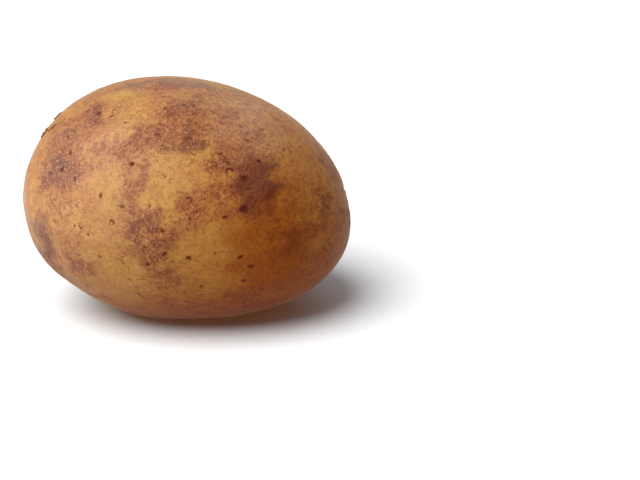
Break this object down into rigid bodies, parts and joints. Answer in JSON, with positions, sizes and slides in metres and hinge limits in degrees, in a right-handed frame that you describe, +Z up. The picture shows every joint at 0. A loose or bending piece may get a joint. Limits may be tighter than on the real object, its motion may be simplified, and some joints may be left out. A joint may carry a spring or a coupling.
{
  "type": "potato",
  "caption": "Whole plump oval table potato in its skin, with shallow eyes and a stolon scar, lying on its small flat side.",
  "frame": {"origin": "on the resting plane, under the middle of the tuber's bounding box", "axes": "+X along the tuber from the rose end, where the buds crowd, to the stem end with the stolon scar; +Y across it, away from its best side; +Z up from the flat spot"},
  "size_m": [0.0948, 0.0724, 0.0692],
  "materials": {
    "skin": "thin matt-satin potato skin, yellow tan with russet netting, soil stains and pores"
  },
  "bodies": {
    "root": {"potato": "skin"}
  },
  "joints": []
}
